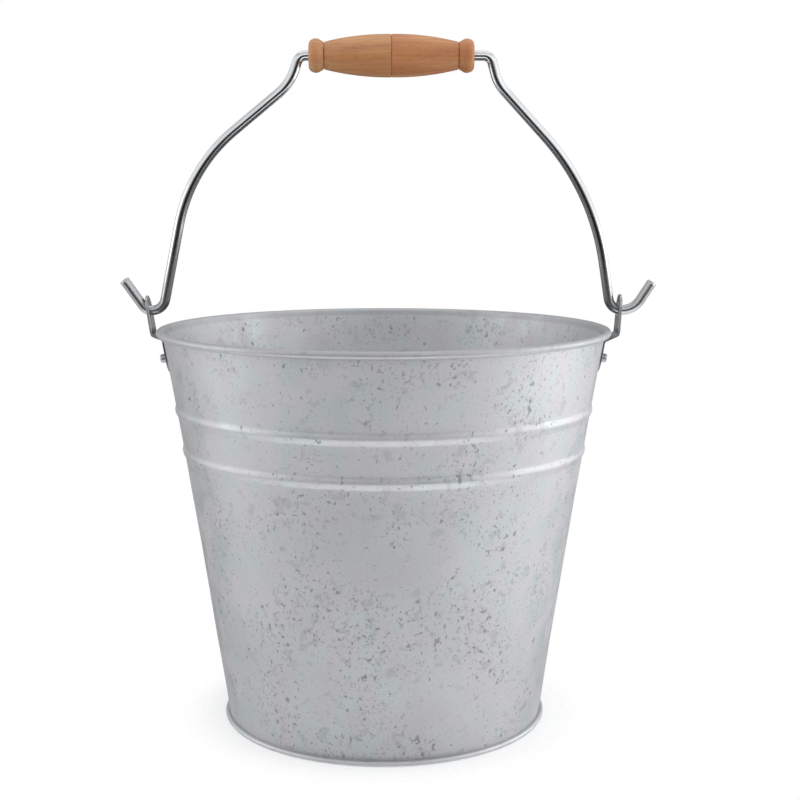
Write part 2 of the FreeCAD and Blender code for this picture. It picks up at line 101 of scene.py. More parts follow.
# The grip's wood: a seed, the pith's y and z, and the pale and the ruddy tone
BEECH = {
    "left": (1, (0.034, 0.052), (0.520, 0.258, 0.100, 1), (0.435, 0.176, 0.058, 1)),
    "right": (2, (-0.046, 0.030), (0.515, 0.232, 0.082, 1), (0.430, 0.150, 0.043, 1)),
}

# The picture: the floor fades out between two radii, and a panel has a place, an aim, a size and watts
FLOOR_FADE = (0.075, 0.135)
PANELS = {
    "panel_right": ((0.95, 0.0, 0.18), (0.0, 0.0, 0.12), (1.0, 0.6), 3.9),
    "panel_left": ((-0.95, -0.10, 0.25), (0.0, 0.0, 0.15), (0.5, 0.8), 2.5),
    "panel_top": ((0.0, 0.15, 1.25), (0.0, 0.0, 0.2), (1.1, 0.8), 2.4),
}
CAMERA_AT, CAMERA_TURN = (0.0, -0.8986, 0.3304), (81.63, 0.0, -0.63)
SENSOR_MM, LENS_MM = 36.0, 65.71


# ---------------------------------------------------------------------------------------------------
# Numbers


def smooth(low, high, value):
    """0 up to low, 1 from high on, and an even S between them. Low may be the larger of the two."""
    share = min(1.0, max(0.0, (value - low) / (high - low)))
    return share * share * (3 - 2 * share)


def steps(first, last, widest):
    """Evenly spaced numbers from first to last, no further apart than widest."""
    count = max(1, math.ceil(abs(last - first) / widest))
    return [first + (last - first) * n / count for n in range(count + 1)]


def arc(centre, radius, start, end, widest=6.0):
    """Points round a centre, from one angle to another in degrees."""
    turns = [math.radians(angle) for angle in steps(start, end, widest)]
    return [(centre[0] + radius * math.cos(a), centre[1] + radius * math.sin(a)) for a in turns]


def drift(point, size, seed):
    """Smooth random value of about -1 to 1 that changes over a distance of size, another for each seed."""
    return noise.noise(Vector(point) / size + Vector((seed * 7.3, seed * 3.1, seed * 5.7)))


class Path:
    """Straight runs joined by tangent arcs, through corners of x, z and bend radius."""

    def __init__(self, corners):
        self.parts = []
        start = Vector(corners[0][:2])
        for before, corner, after in zip(corners, corners[1:], corners[2:]):
            here, radius = Vector(corner[:2]), corner[2]
            into = (here - Vector(before[:2])).normalized()
            out = (Vector(after[:2]) - here).normalized()
            turn = math.atan2(into.x * out.y - into.y * out.x, into.dot(out))
            spare = radius * math.tan(abs(turn) / 2)
            self.add(start, into, (here - into * spare - start).length, 0.0)
            self.add(here - into * spare, into, radius * abs(turn), math.copysign(1 / radius, turn))
            start = here + out * spare
        last = Vector(corners[-1][:2])
        self.add(start, (last - start).normalized(), (last - start).length, 0.0)
        self.length = sum(part[2] for part in self.parts)

    def add(self, start, way, length, curve):
        """One run, or one arc where curve isn't 0."""
        self.parts.append((start, way, length, curve))

    def at(self, distance):
        """The point and the direction at a distance from the start, which stops just short of the end."""
        distance = min(distance, self.length - TINY)
        for start, way, length, curve in self.parts:
            if distance <= length:
                break
            distance -= length
        side = Vector((-way.y, way.x))
        if not curve:
            return start + way * distance, way
        angle = curve * distance
        point = start + way * (math.sin(angle) / curve) + side * ((1 - math.cos(angle)) / curve)
        return point, way * math.cos(angle) + side * math.sin(angle)

    def stations(self, widest, widest_turn):
        """Distances along the path, close enough for its runs and its arcs."""
        found, done = [0.0], 0.0
        for _, _, length, curve in self.parts:
            step = min(widest, math.radians(widest_turn) / abs(curve)) if curve else widest
            found += [done + d for d in steps(0, length, step)[1:]] if length > TINY else []
            done += length
        return found

    def where(self, height):
        """The distance at which a rising path reaches a height."""
        low, high = 0.0, self.length
        for _ in range(40):
            middle = (low + high) / 2
            low, high = (middle, high) if self.at(middle)[0].y < height else (low, middle)
        return low


# ---------------------------------------------------------------------------------------------------
# Materials


class Nodes:
    """A node tree. Most methods add the node that their name says and return its output."""

    def __init__(self, tree):
        self.tree = tree
        tree.nodes.clear()
        self.places = tree.nodes.new("ShaderNodeTexCoord").outputs

    def put(self, socket, value):
        """Links an output to a socket, or sets a plain number or colour on it."""
        if isinstance(value, bpy.types.NodeSocket):
            self.tree.links.new(value, socket)
        elif value is not None:
            socket.default_value = value

    def node(self, kind, values, output=0, **settings):
        """Any node, with its inputs given by name or number."""
        made = self.tree.nodes.new(kind)
        for name, setting in settings.items():
            setattr(made, name, setting)
        for key, value in values.items():
            self.put(made.inputs[key], value)
        return made.outputs[output]

    def math(self, operation, first, second=None):
        return self.node("ShaderNodeMath", {0: first, 1: second}, operation=operation)

    def product(self, *values):
        result = values[0]
        for value in values[1:]:
            result = self.math("MULTIPLY", result, value)
        return result

    def band(self, value, low, high, start=0.0, end=1.0):
        """value from low to high, mapped smoothly from start to end."""
        inputs = {"Value": value, "From Min": low, "From Max": high, "To Min": start, "To Max": end}
        return self.node("ShaderNodeMapRange", inputs, interpolation_type="SMOOTHSTEP")

    def mix(self, share, first, second):
        """A blend of two colours."""
        return self.node("ShaderNodeMix", {0: share, 6: first, 7: second}, 2, data_type="RGBA")

    def axis(self, vector, name):
        return self.node("ShaderNodeSeparateXYZ", {0: vector}, name)

    def close(self, kind, surface):
        """The tree's output node, with the surface linked to it."""
        out = self.tree.nodes.new(kind)
        self.tree.links.new(surface, out.inputs["Surface"])


class Shader(Nodes):
    """A material's nodes."""

    def __init__(self, name):
        self.material = bpy.data.materials.new(name)
        self.material.use_nodes = True
        super().__init__(self.material.node_tree)

    def stretch(self, vector, scale, offset=(0, 0, 0)):
        """Coordinates multiplied and moved, so that a pattern gets its own grain and place."""
        return self.node("ShaderNodeMapping", {"Vector": vector, "Location": offset, "Scale": scale})

    def noise(self, vector, scale, detail=2.0, roughness=0.5, distortion=0.0, output=0):
        inputs = {"Vector": vector, "Scale": scale, "Detail": detail, "Roughness": roughness,
                  "Distortion": distortion}
        return self.node("ShaderNodeTexNoise", inputs, output)

    def voronoi(self, vector, scale, output="Distance"):
        return self.node("ShaderNodeTexVoronoi", {"Vector": vector, "Scale": scale}, output)

    def warp(self, vector, scale, amount):
        """Coordinates shaken by noise, so that spots get ragged outlines."""
        shake = self.noise(vector, scale, output="Color")
        centred = self.node("ShaderNodeVectorMath", {0: shake, 1: (0.5, 0.5, 0.5)}, operation="SUBTRACT")
        scaled = self.node("ShaderNodeVectorMath", {0: centred, "Scale": amount}, operation="SCALE")
        return self.node("ShaderNodeVectorMath", {0: vector, 1: scaled}, operation="ADD")

    def length(self, vector):
        return self.node("ShaderNodeVectorMath", {0: vector}, "Value", operation="LENGTH")

    def bump(self, height, depth, strength, below=None):
        inputs = {"Height": height, "Distance": depth, "Strength": strength, "Normal": below}
        return self.node("ShaderNodeBump", inputs)

    def finish(self, **values):
        """The surface itself, with its inputs given by name. Returns the finished material."""
        named = {key.replace("_", " "): value for key, value in values.items()}
        self.close("ShaderNodeOutputMaterial", self.node("ShaderNodeBsdfPrincipled", named))
        return self.material


def spots(s, place, scale, smallest, largest, share, kept, edge):
    """Spots, one to a cell at most: share of the cells could hold one, and kept of those do."""
    pick = s.axis(s.voronoi(place, scale, "Color"), "X")
    size = s.band(pick, 1 - share, 1.0, smallest, largest)
    inputs = {"Value": s.voronoi(place, scale), "To Min": 1.0, "To Max": 0.0,
              "From Min": s.math("SUBTRACT", size, edge), "From Max": s.math("ADD", size, edge)}
    return s.product(s.node("ShaderNodeMapRange", inputs), s.math("GREATER_THAN", pick, 1 - kept * share))


def specks(s, place, scale, crowd, low, high):
    """Irregular specks where fine noise peaks, more of them where crowd is high."""
    peaks = s.math("ADD", s.noise(place, scale, 2.5, 0.55, 0.25), crowd)
    return s.band(peaks, low, high)


def lap(s, place, angle, foot):
    """A thin line across the rim bead above its foot, for a joint at an angle round the bucket."""
    found = s.math("ARCTAN2", s.axis(place, "Y"), s.axis(place, "X"))
    off = s.math("ABSOLUTE", s.math("SUBTRACT", found, angle))
    line = s.band(off, LAP_HALF_ANGLE * 0.75, LAP_HALF_ANGLE * 1.25, 1.0, 0.0)
    return s.product(line, s.band(s.axis(place, "Z"), foot, foot + 0.0003))


def zinc_material():
    """Dull zinc-coated sheet: soft clouds, faint cool and lilac patches, and ragged flecks in loose groups.

    The rim bead is painted a little darker all round as painted shade, and has no flecks, and neither has
    the base seam."""
    s = Shader("zinc_sheet")
    place = s.places["Object"]
    clouds = s.noise(place, 13.0, 3.0)
    patches = s.noise(s.stretch(place, (1, 1, 0.8), (3.1, 1.7, 0.4)), 62.0, 3.0, 0.55)
    pepper = s.noise(place, 1250.0, 3.0, 0.6)
    groups = s.noise(s.stretch(place, (1, 1, 0.75), (7.7, 2.9, 5.3)), 27.0, 3.0, 0.6)
    crowd = s.band(groups, 0.36, 0.64, 0.0, 0.075)
    flecks = specks(s, s.stretch(place, (1, 1, 0.85)), 330.0, crowd, 0.680, 0.740)
    crumbs = specks(s, s.stretch(place, (1, 1, 0.9), (0.31, 0.17, 0.23)), 560.0, crowd, 0.645, 0.730)
    blots = specks(s, s.stretch(place, (1, 1, 1), (0.57, 0.41, 0.13)), 150.0, crowd, 0.62, 0.72)

    height = s.axis(place, "Z")
    bead_foot, seam_top = round(MOUTH_Z - BEAD_OUT, 1) * MM, 2 * FOLD_R * MM
    below_bead = s.band(height, bead_foot - 0.0002, bead_foot - 0.0012)
    above_seam = s.band(height, seam_top, seam_top + 0.0015)
    plain = s.product(below_bead, above_seam)
    # painted shade: the rim bead's colour is darkened all round
    bead = s.band(height, bead_foot - 0.0009, bead_foot + 0.0005, 0.0, 0.40)
    laps = s.math("MAXIMUM", *(lap(s, place, angle, bead_foot) for angle in LAP_ANGLES))

    tone = s.mix(s.band(patches, 0.42, 0.58), (0.482, 0.507, 0.513, 1), (0.516, 0.500, 0.519, 1))
    tone = s.mix(s.band(clouds, 0.35, 0.68, 0.0, 0.55), tone, (0.440, 0.443, 0.452, 1))
    tone = s.mix(s.band(pepper, 0.44, 0.70, 0.0, 0.26), tone, (0.33, 0.333, 0.345, 1))
    tone = s.mix(s.product(blots, 0.28), tone, (0.28, 0.272, 0.268, 1))
    tone = s.mix(s.product(crumbs, plain, 0.46), tone, (0.21, 0.204, 0.202, 1))
    tone = s.mix(s.product(flecks, plain, 0.56), tone, (0.165, 0.160, 0.158, 1))
    # painted shade on the rim bead
    tone = s.mix(bead, tone, (0.30, 0.303, 0.31, 1))
    tone = s.mix(s.product(laps, 0.85), tone, (0.05, 0.05, 0.05, 1))

    dull = s.math("ADD", s.band(patches, 0.3, 0.7, 0.50, 0.60), s.product(flecks, 0.10))
    relief = s.math("SUBTRACT", s.product(s.noise(place, 260.0, 3.0), 0.8), flecks)
    normal = s.bump(pepper, 0.00005, 0.30, s.bump(relief, 0.00010, 0.35))
    return s.finish(Base_Color=tone, Roughness=dull, Metallic=0.80, Normal=normal)


def wire_material():
    """Bright plated wire with fine draw marks along it, painted darker at its hooks as painted shade, and
    duller there.
    """
    s = Shader("bright_wire")
    along = s.places["UV"]
    place = s.places["Object"]
    marks = s.noise(s.stretch(along, (12, 1900, 1)), 1.0, 3.0, 0.6)
    smears = s.noise(place, 45.0, 3.0)
    pits = spots(s, s.warp(place, 900.0, 0.0006), 520.0, 0.08, 0.2, 0.25, 0.9, 0.05)
    # painted shade: the wire's colour is darkened at and just above its hooks, which are also made rougher
    painted_shade_at_hooks = s.band(s.axis(place, "Z"), (HOOK_Z + 45.8) * MM, (HOOK_Z + 13.8) * MM)
    tone = s.mix(s.band(marks, 0.35, 0.7, 0.0, 0.35), (0.60, 0.605, 0.61, 1), (0.40, 0.405, 0.412, 1))
    tone = s.mix(s.band(smears, 0.45, 0.7, 0.0, 0.35), tone, (0.42, 0.42, 0.425, 1))
    tone = s.mix(s.product(pits, 0.6), tone, (0.20, 0.20, 0.21, 1))
    tone = s.mix(s.product(painted_shade_at_hooks, 0.60), tone, (0.24, 0.24, 0.245, 1))
    dull = s.math("ADD", s.band(marks, 0.3, 0.75, 0.13, 0.25), s.product(painted_shade_at_hooks, 0.12))
    normal = s.bump(marks, 0.00003, 0.5)
    return s.finish(Base_Color=tone, Roughness=dull, Metallic=1.0, Normal=normal)


def ear_material():
    """Dull steel strip with pale roll marks along it, dark spots, and painted shade that darkens it towards
    its foot, against the wall.
    """
    s = Shader("ear_steel")
    place = s.places["Object"]
    roll = s.noise(s.stretch(place, (1, 1, 0.06)), 900.0, 3.0, 0.6)
    clouds = s.noise(place, 110.0, 4.0, 0.6)
    spotty = spots(s, s.warp(place, 1000.0, 0.0008), 480.0, 0.08, 0.26, 0.5, 0.9, 0.06)
    tone = s.mix(s.band(clouds, 0.36, 0.66), (0.40, 0.40, 0.405, 1), (0.30, 0.30, 0.305, 1))
    tone = s.mix(s.band(roll, 0.35, 0.7, 0.0, 0.40), tone, (0.50, 0.50, 0.505, 1))
    tone = s.mix(s.product(spotty, 0.5), tone, (0.10, 0.10, 0.10, 1))
    # painted shade: the strip's colour is darkened towards its foot, where it lies against the wall
    painted_shade_at_foot = s.band(s.axis(place, "Z"), (EAR_SHELF_Z + 5.0) * MM, (EAR_SHELF_Z - 8.0) * MM, 0.0, 0.62)
    tone = s.mix(painted_shade_at_foot, tone, (0.06, 0.06, 0.06, 1))
    dull = s.band(clouds, 0.3, 0.7, 0.34, 0.48)
    normal = s.bump(roll, 0.00004, 0.4, s.bump(clouds, 0.00010, 0.3))
    return s.finish(Base_Color=tone, Roughness=dull, Metallic=0.95, Normal=normal)


def rivet_material():
    """Soft pale rivet metal with the small dents of the rivet set."""
    s = Shader("rivet_metal")
    place = s.places["Object"]
    dents = s.noise(place, 700.0, 2.0)
    scuffs = s.noise(s.stretch(place, (1, 3, 0.4)), 1600.0, 3.0, 0.6)
    tone = s.mix(s.band(scuffs, 0.35, 0.7), (0.40, 0.405, 0.41, 1), (0.28, 0.285, 0.29, 1))
    tone = s.mix(s.band(dents, 0.5, 0.75, 0.0, 0.5), tone, (0.20, 0.20, 0.205, 1))
    dull = s.band(scuffs, 0.3, 0.75, 0.34, 0.48)
    normal = s.bump(dents, 0.00018, 0.6)
    return s.finish(Base_Color=tone, Roughness=dull, Metallic=0.95, Normal=normal)


def core_material():
    """Plain steel rod inside the rim, with mill scale."""
    s = Shader("core_wire")
    place = s.places["Object"]
    scale = s.noise(place, 400.0, 3.0, 0.6)
    tone = s.mix(s.band(scale, 0.35, 0.65), (0.20, 0.19, 0.18, 1), (0.33, 0.32, 0.31, 1))
    dull = s.band(scale, 0.3, 0.7, 0.4, 0.6)
    return s.finish(Base_Color=tone, Roughness=dull, Metallic=0.9, Normal=s.bump(scale, 0.0001, 0.4))


def beech_material(name, seed, pith, pale, ruddy):
    """Turned beech with its grain along X: rings about a pith outside the grip, ray flecks, tool marks.

    The seed moves the patterns, and pale and ruddy are the wood's two main tones."""
    s = Shader(name)
    place = s.places["Object"]
    moved = s.stretch(place, (1, 1, 1), (seed * 0.37, seed * 0.11, seed * 0.23))
    lean = s.warp(s.stretch(moved, (0.10, 1, 1)), 55.0, 0.010)
    centred = s.stretch(lean, (0, 1, 1), (0, *pith))
    rings = s.math("FRACT", s.product(s.length(centred), 430.0))
    late = s.product(s.band(rings, 0.55, 0.97), s.band(rings, 1.0, 0.97))
    streaks = s.noise(s.stretch(moved, (0.035, 1, 1)), 260.0, 3.0, 0.6)
    broad = s.noise(s.stretch(moved, (0.12, 1, 1)), 75.0, 2.0)
    fibres = s.noise(s.stretch(moved, (0.02, 1, 1)), 2600.0, 2.0, 0.6)
    ragged = s.warp(s.stretch(moved, (0.16, 1, 1)), 900.0, 0.0004)
    rays = spots(s, ragged, 900.0, 0.10, 0.34, 0.62, 1.0, 0.08)

    tone = s.mix(s.band(broad, 0.34, 0.66), pale, ruddy)
    tone = s.mix(s.band(streaks, 0.42, 0.72, 0.0, 0.60), tone, (0.34, 0.118, 0.046, 1))
    tone = s.mix(s.product(late, 0.30), tone, (0.31, 0.115, 0.048, 1))
    tone = s.mix(s.band(fibres, 0.40, 0.72, 0.0, 0.28), tone, (0.56, 0.30, 0.15, 1))
    tone = s.mix(s.product(rays, 0.34), tone, (0.22, 0.085, 0.04, 1))
    dull = s.band(streaks, 0.3, 0.7, 0.46, 0.56)
    tooling = s.noise(s.stretch(place, (1, 0.01, 0.01)), 1500.0, 2.0)
    normal = s.bump(tooling, 0.00006, 0.30, s.bump(fibres, 0.00005, 0.35))
    return s.finish(Base_Color=tone, Roughness=dull, Normal=normal)


# ---------------------------------------------------------------------------------------------------
# Meshes


def add_piece(name, points, faces, material, body, nodes, sharp=38.0, weighted=False):
    """A closed mesh from points in millimetres, facing outwards, which rides on a body.

    Edges steeper than sharp degrees stay crisp. Weighted evens out the shading of flats beside rounds."""
    mesh = bpy.data.meshes.new(name)
    mesh.from_pydata([Vector(point) * MM for point in points], [], faces)
    shell = bmesh.new()
    shell.from_mesh(mesh)
    bmesh.ops.recalc_face_normals(shell, faces=shell.faces)
    shell.to_mesh(mesh)
    shell.free()
    mesh.shade_smooth()
    mesh.set_sharp_from_angle(angle=math.radians(sharp))
    mesh.materials.append(material)
    piece = bpy.data.objects.new(name, mesh)
    bpy.context.scene.collection.objects.link(piece)
    if weighted:
        piece.modifiers.new("even_normals", "WEIGHTED_NORMAL").keep_sharp = True
    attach(piece, body)
    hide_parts(*nodes)
    return piece


def ring_faces(low, high, sides):
    """Faces between two rings of point numbers. Either ring may be a single point."""
    faces = []
    for n in range(sides):
        m = (n + 1) % sides
        corners = [low[n % len(low)], low[m % len(low)], high[m % len(high)], high[n % len(high)]]
        faces.append(list(dict.fromkeys(corners)))
    return faces


def lathe(profile, angles, place):
    """Points and faces of a profile of (radius, height) turned through angles; place puts each in space.

    The profile is a closed loop, or it starts and ends on the axis, where its ends become single points."""
    points, rows = [], []
    for radius, height in profile:
        row = [place(radius, height, angle) for angle in (angles if radius else angles[:1])]
        rows.append(range(len(points), len(points) + len(row)))
        points += row
    pairs = list(zip(rows, rows[1:]))
    if profile[0][0] > 0:
        pairs.append((rows[-1], rows[0]))
    return points, [face for low, high in pairs for face in ring_faces(low, high, len(angles))]


def round_angles(count):
    """Even angles round a full turn."""
    return [math.tau * n / count for n in range(count)]


def bulged(start, end, radius, widest):
    """Points at most widest apart on the shallow arc from start to end that bulges to its left."""
    start, end = Vector(start), Vector(end)
    half = (end - start) / 2
    rise = math.sqrt(radius * radius - half.length_squared)
    left = Vector((-half.y, half.x)).normalized()
    centre = start + half - left * rise
    first = math.atan2(start.y - centre.y, start.x - centre.x)
    last = math.atan2(end.y - centre.y, end.x - centre.x)
    if last > first:
        last -= math.tau
    angles = steps(first, last, widest / radius)
    return [(centre.x + radius * math.cos(a), centre.y + radius * math.sin(a)) for a in angles]


# ---------------------------------------------------------------------------------------------------
# The bucket


def flare(z):
    """The outside radius of the plain wall at a height."""
    rise = z / MOUTH_Z
    return FOOT_R + (MOUTH_R - FOOT_R) * rise - 4 * FLARE_SAG * rise * (1 - rise)


def rib(z):
    """How far the swaged ribs stand out at a height."""
    nearest = min(abs(z - crest) for crest in RIB_Z)
    return RIB_HEIGHT * (0.5 + 0.5 * math.cos(math.pi * min(1.0, nearest / RIB_REACH)))


def wall_heights():
    """Heights of the wall's rows, close together at the ribs."""
    (low_start, low_end), (high_start, high_end) = ((z - RIB_REACH, z + RIB_REACH) for z in RIB_Z)
    runs = (
        (WALL_FOOT_Z, low_start, 4.0),
        (low_start, low_end, 0.45),
        (low_end, high_start, 3.0),
        (high_start, high_end, 0.45),
        (high_end, MOUTH_Z - SHEET, 3.5),
    )
    return sorted({z for first, last, widest in runs for z in steps(first, last, widest)})


def dent(angle, z):
    """How far hand and tool marks push the sheet off its true round. The rim, foot and ears stay true."""
    across = flare(z)
    point = (across * math.cos(angle), across * math.sin(angle), z)
    depth = sum(deep * drift(point, wide, seed) for seed, (deep, wide) in enumerate(DENTS, 1))
    stiff = 1 - 0.55 * smooth(0.0, 0.6, rib(z))
    by_ear = smooth(14.0, 30.0, math.hypot(point[1], max(0.0, EAR_FOOT_Z - 4.0 - z)))
    by_foot, by_rim = smooth(3.0, 16.0, z), smooth(237.0, 224.0, z)
    return depth * stiff * by_ear * by_foot * by_rim


def weld(angle, z):
    """The low bead of the wall's lengthwise weld."""
    off = abs(math.remainder(angle - WELD_ANGLE, math.tau)) * flare(z)
    waver = 1 + 0.25 * drift((off, 0, z), 3.0, 4)
    return WELD_HEIGHT * waver * smooth(WELD_HALF_WIDTH, 0.3, off) * smooth(WELD_TOP_Z, WELD_TOP_Z - 5.0, z)


def wall_profile():
    """The wall's section as (radius, height): up the inside, round the rim bead, and down the outside."""
    outside = [(flare(z) + rib(z), z) for z in wall_heights()]
    inner = []
    for n, (radius, z) in enumerate(outside):
        before, after = outside[max(0, n - 1)], outside[min(len(outside) - 1, n + 1)]
        slope = (after[0] - before[0]) / (after[1] - before[1])
        inner.append((radius - SHEET * math.hypot(1, slope), z))
    bead = arc(BEAD_CENTRE, BEAD_OUT, BEAD_START, BEAD_END, 5.0)
    lip = arc(BEAD_CENTRE, (BEAD_OUT + BEAD_IN) / 2, BEAD_END - 4, BEAD_END - 4)[:1]
    hollow = arc(BEAD_CENTRE, BEAD_IN, BEAD_END, BEAD_START, 9.0)
    flange = [(FOOT_R + 0.35, FLANGE_Z + SHEET + 0.05), (FLANGE_R, FLANGE_Z + SHEET), (FLANGE_R, FLANGE_Z),
              (FOOT_R + 0.1, FLANGE_Z), (FOOT_R - 0.4, FLANGE_Z + 0.2)]
    return inner + bead + lip + hollow + outside[::-1] + flange


def wall_angles():
    """Angles round the wall, closer together across its weld."""
    reach, apart = 2.4, 0.4
    fine = [WELD_ANGLE + off / FOOT_R for off in steps(-reach, reach, apart)]
    clear = (reach + apart) / FOOT_R
    even = [angle for angle in round_angles(WALL_SIDES) if abs(angle - WELD_ANGLE) > clear]
    return sorted(even + fine)


def build_wall(material):
    """The sheet of the wall, with its dents and its weld."""
    def place(radius, z, angle):
        seamed = weld(angle, z) if radius > flare(z) - SHEET / 3 else 0.0
        across = radius + dent(angle, z) + seamed
        return across * math.cos(angle), across * math.sin(angle), z

    points, faces = lathe(wall_profile(), wall_angles(), place)
    add_piece("wall_sheet", points, faces, material, "bucket", ["bucket_wall"])


def bottom_profile():
    """The bottom's section as (radius, height): out along its top, round the fold, and back underneath."""
    top, raised = PANEL_Z + SHEET, PANEL_Z + SHEET + PANEL_STEP
    step_radii = steps(PANEL_STEP_R - STEP_WIDTH, PANEL_STEP_R, 0.3)
    step = [(r, top + PANEL_STEP * smooth(PANEL_STEP_R, PANEL_STEP_R - STEP_WIDTH, r)) for r in step_radii]
    middle, margin_r, skirt_in = steps(6.0, PANEL_STEP_R - 6.0, 6.0), PANEL_STEP_R + 4.0, SKIRT_R - SHEET
    fold_at = (SEAM_R - FOLD_R, FOLD_R)

    upper = [(0.0, raised)] + [(r, raised) for r in middle] + step
    upper += [(r, top) for r in steps(margin_r, SKIRT_R - 2.0, 4.0)]
    upper += arc((SKIRT_R - 1.0, top - 1.0), 1.0, 90, 0, 15) + [(SKIRT_R, SHEET + 0.9)]
    upper += arc((SKIRT_R + 0.3, SHEET + 0.3), 0.3, 180, 270, 30) + [(SKIRT_R + 1.1, SHEET)]
    fold = arc(fold_at, FOLD_R - SHEET, -90, 90, 15) + [(LIP_R, 2 * FOLD_R - SHEET)]
    fold += [(LIP_R - 0.12, 2 * FOLD_R - SHEET / 2), (LIP_R, 2 * FOLD_R)]
    fold += arc(fold_at, FOLD_R, 90, -90, 7.5)
    lower = arc((skirt_in + 1.1, 1.1), 1.1, 270, 180, 15)
    lower += [(skirt_in, PANEL_Z - 0.6), (skirt_in - 0.6, PANEL_Z)]
    lower += [(r, PANEL_Z) for r in steps(margin_r + 8.0, margin_r, 4.0)]
    lower += [(r, z - SHEET) for r, z in step[::-1]]
    lower += [(r, raised - SHEET) for r in middle[::-1]] + [(0.0, raised - SHEET)]
    return upper + fold + lower


def build_bottom(material):
    """The recessed bottom with a pressed step, its skirt, and the fold that clasps the wall's foot."""
    def place(radius, z, angle):
        point = (radius * math.cos(angle), radius * math.sin(angle), z)
        sag = 0.25 * drift(point, 46.0, 5) * smooth(90.0, 60.0, radius)
        roll = 0.06 * drift(point, 7.0, 6) * smooth(99.0, 100.5, radius) * (z > 0.2)
        across = radius + roll - abs(roll)
        return across * math.cos(angle), across * math.sin(angle), z + sag

    points, faces = lathe(bottom_profile(), round_angles(BOTTOM_SIDES), place)
    add_piece("bottom_sheet", points, faces, material, "bucket", ["bottom_disc"])


# ---------------------------------------------------------------------------------------------------
# Ears and rivets


def ear_path(side):
    """An ear's inner face as seen from the front, from its foot up to its top."""
    knee_bend = EAR_BEND + EAR_GAUGE
    return Path([
        (flare(EAR_FOOT_Z) + EAR_GAP, EAR_FOOT_Z, 0),
        (flare(EAR_KNEE_Z[side]) + EAR_GAP, EAR_KNEE_Z[side], knee_bend),
        (EAR_SHELF_X[side], EAR_SHELF_Z, EAR_BEND),
        (EAR_TOP_X, EAR_TOP_Z[side], 0),
    ])


def ear_outline(path):
    """The ear's flat outline as (distance up the strip, distance to one side of its middle)."""
    top, shoulder = path.length - EAR_TOP_R, path.where(EAR_SHELF_Z)
    outline = arc((top, 0), EAR_TOP_R, -90, 90, 5.0)
    sides = steps(top, shoulder, 1.5)[1:]
    taper = [(u, EAR_TOP_R + (EAR_FOOT_R - EAR_TOP_R) * (top - u) / (top - shoulder)) for u in sides]
    straight = [(u, EAR_FOOT_R) for u in steps(shoulder, EAR_FOOT_R, 0.8)[1:-1]]
    foot = arc((EAR_FOOT_R, 0), EAR_FOOT_R, 90, 270, 5.0)
    outline += taper + straight + foot + [(u, -w) for u, w in (taper + straight)[::-1]]
    return outline


def outward(loop):
    """The outward direction at each point of a loop that runs anticlockwise."""
    ways = []
    for before, after in zip(loop[-1:] + loop[:-1], loop[1:] + loop[:1]):
        along = Vector(after) - Vector(before)
        ways.append(Vector((along.y, -along.x)).normalized())
    return ways


def inside(point, loop):
    """True if a point lies inside a loop."""
    found = False
    for (ax, ay), (bx, by) in zip(loop, loop[1:] + loop[:1]):
        if (ay > point[1]) != (by > point[1]) and point[0] < (bx - ax) * (point[1] - ay) / (by - ay) + ax:
            found = not found
    return found


def flat_net(path, holes, loops):
    """The flat strip between its loops: its points, its triangles, and the number of each loop point."""
    apart, half_width, off_hole, off_rim = 1.3, 9.0, 0.9, 0.55
    flat, edges = [], []
    for loop in loops:
        first = len(flat)
        flat += loop
        edges += [(first + n, first + (n + 1) % len(loop)) for n in range(len(loop))]
    outer = [tuple(point) for point in loops[0]]
    for u in path.stations(apart, 9.0)[1:-1]:
        for w in steps(-half_width, half_width, apart):
            clear = min(math.dist((u, w), centre) - radius for centre, radius, _ in holes)
            rim = min((Vector((u, w)) - point).length for point in loops[0])
            if clear > off_hole and rim > off_rim and inside((u, w), outer):
                flat.append(Vector((u, w)))
    found, _, triangles, sources, _, _ = delaunay_2d_cdt(flat, edges, [], 0, 10 * TINY)

    def solid(triangle):
        middle = sum((found[n] for n in triangle), Vector((0, 0))) / 3
        in_hole = any(math.dist(middle, centre) < radius for centre, radius, _ in holes)
        return inside(middle, outer) and not in_hole

    numbers = {source: n for n, group in enumerate(sources) for source in group}
    return found, [triangle for triangle in triangles if solid(triangle)], numbers


def rounded_edge():
    """The strip's edge from its outer face to its inner one, as (way out, height)."""
    turns = [math.radians(angle) for angle in (30, 60, 90)]
    rounds = [(EAR_EDGE * math.sin(turn), EAR_EDGE * (1 - math.cos(turn))) for turn in turns]
    return [(out, EAR_GAUGE - down) for out, down in rounds] + rounds[::-1]


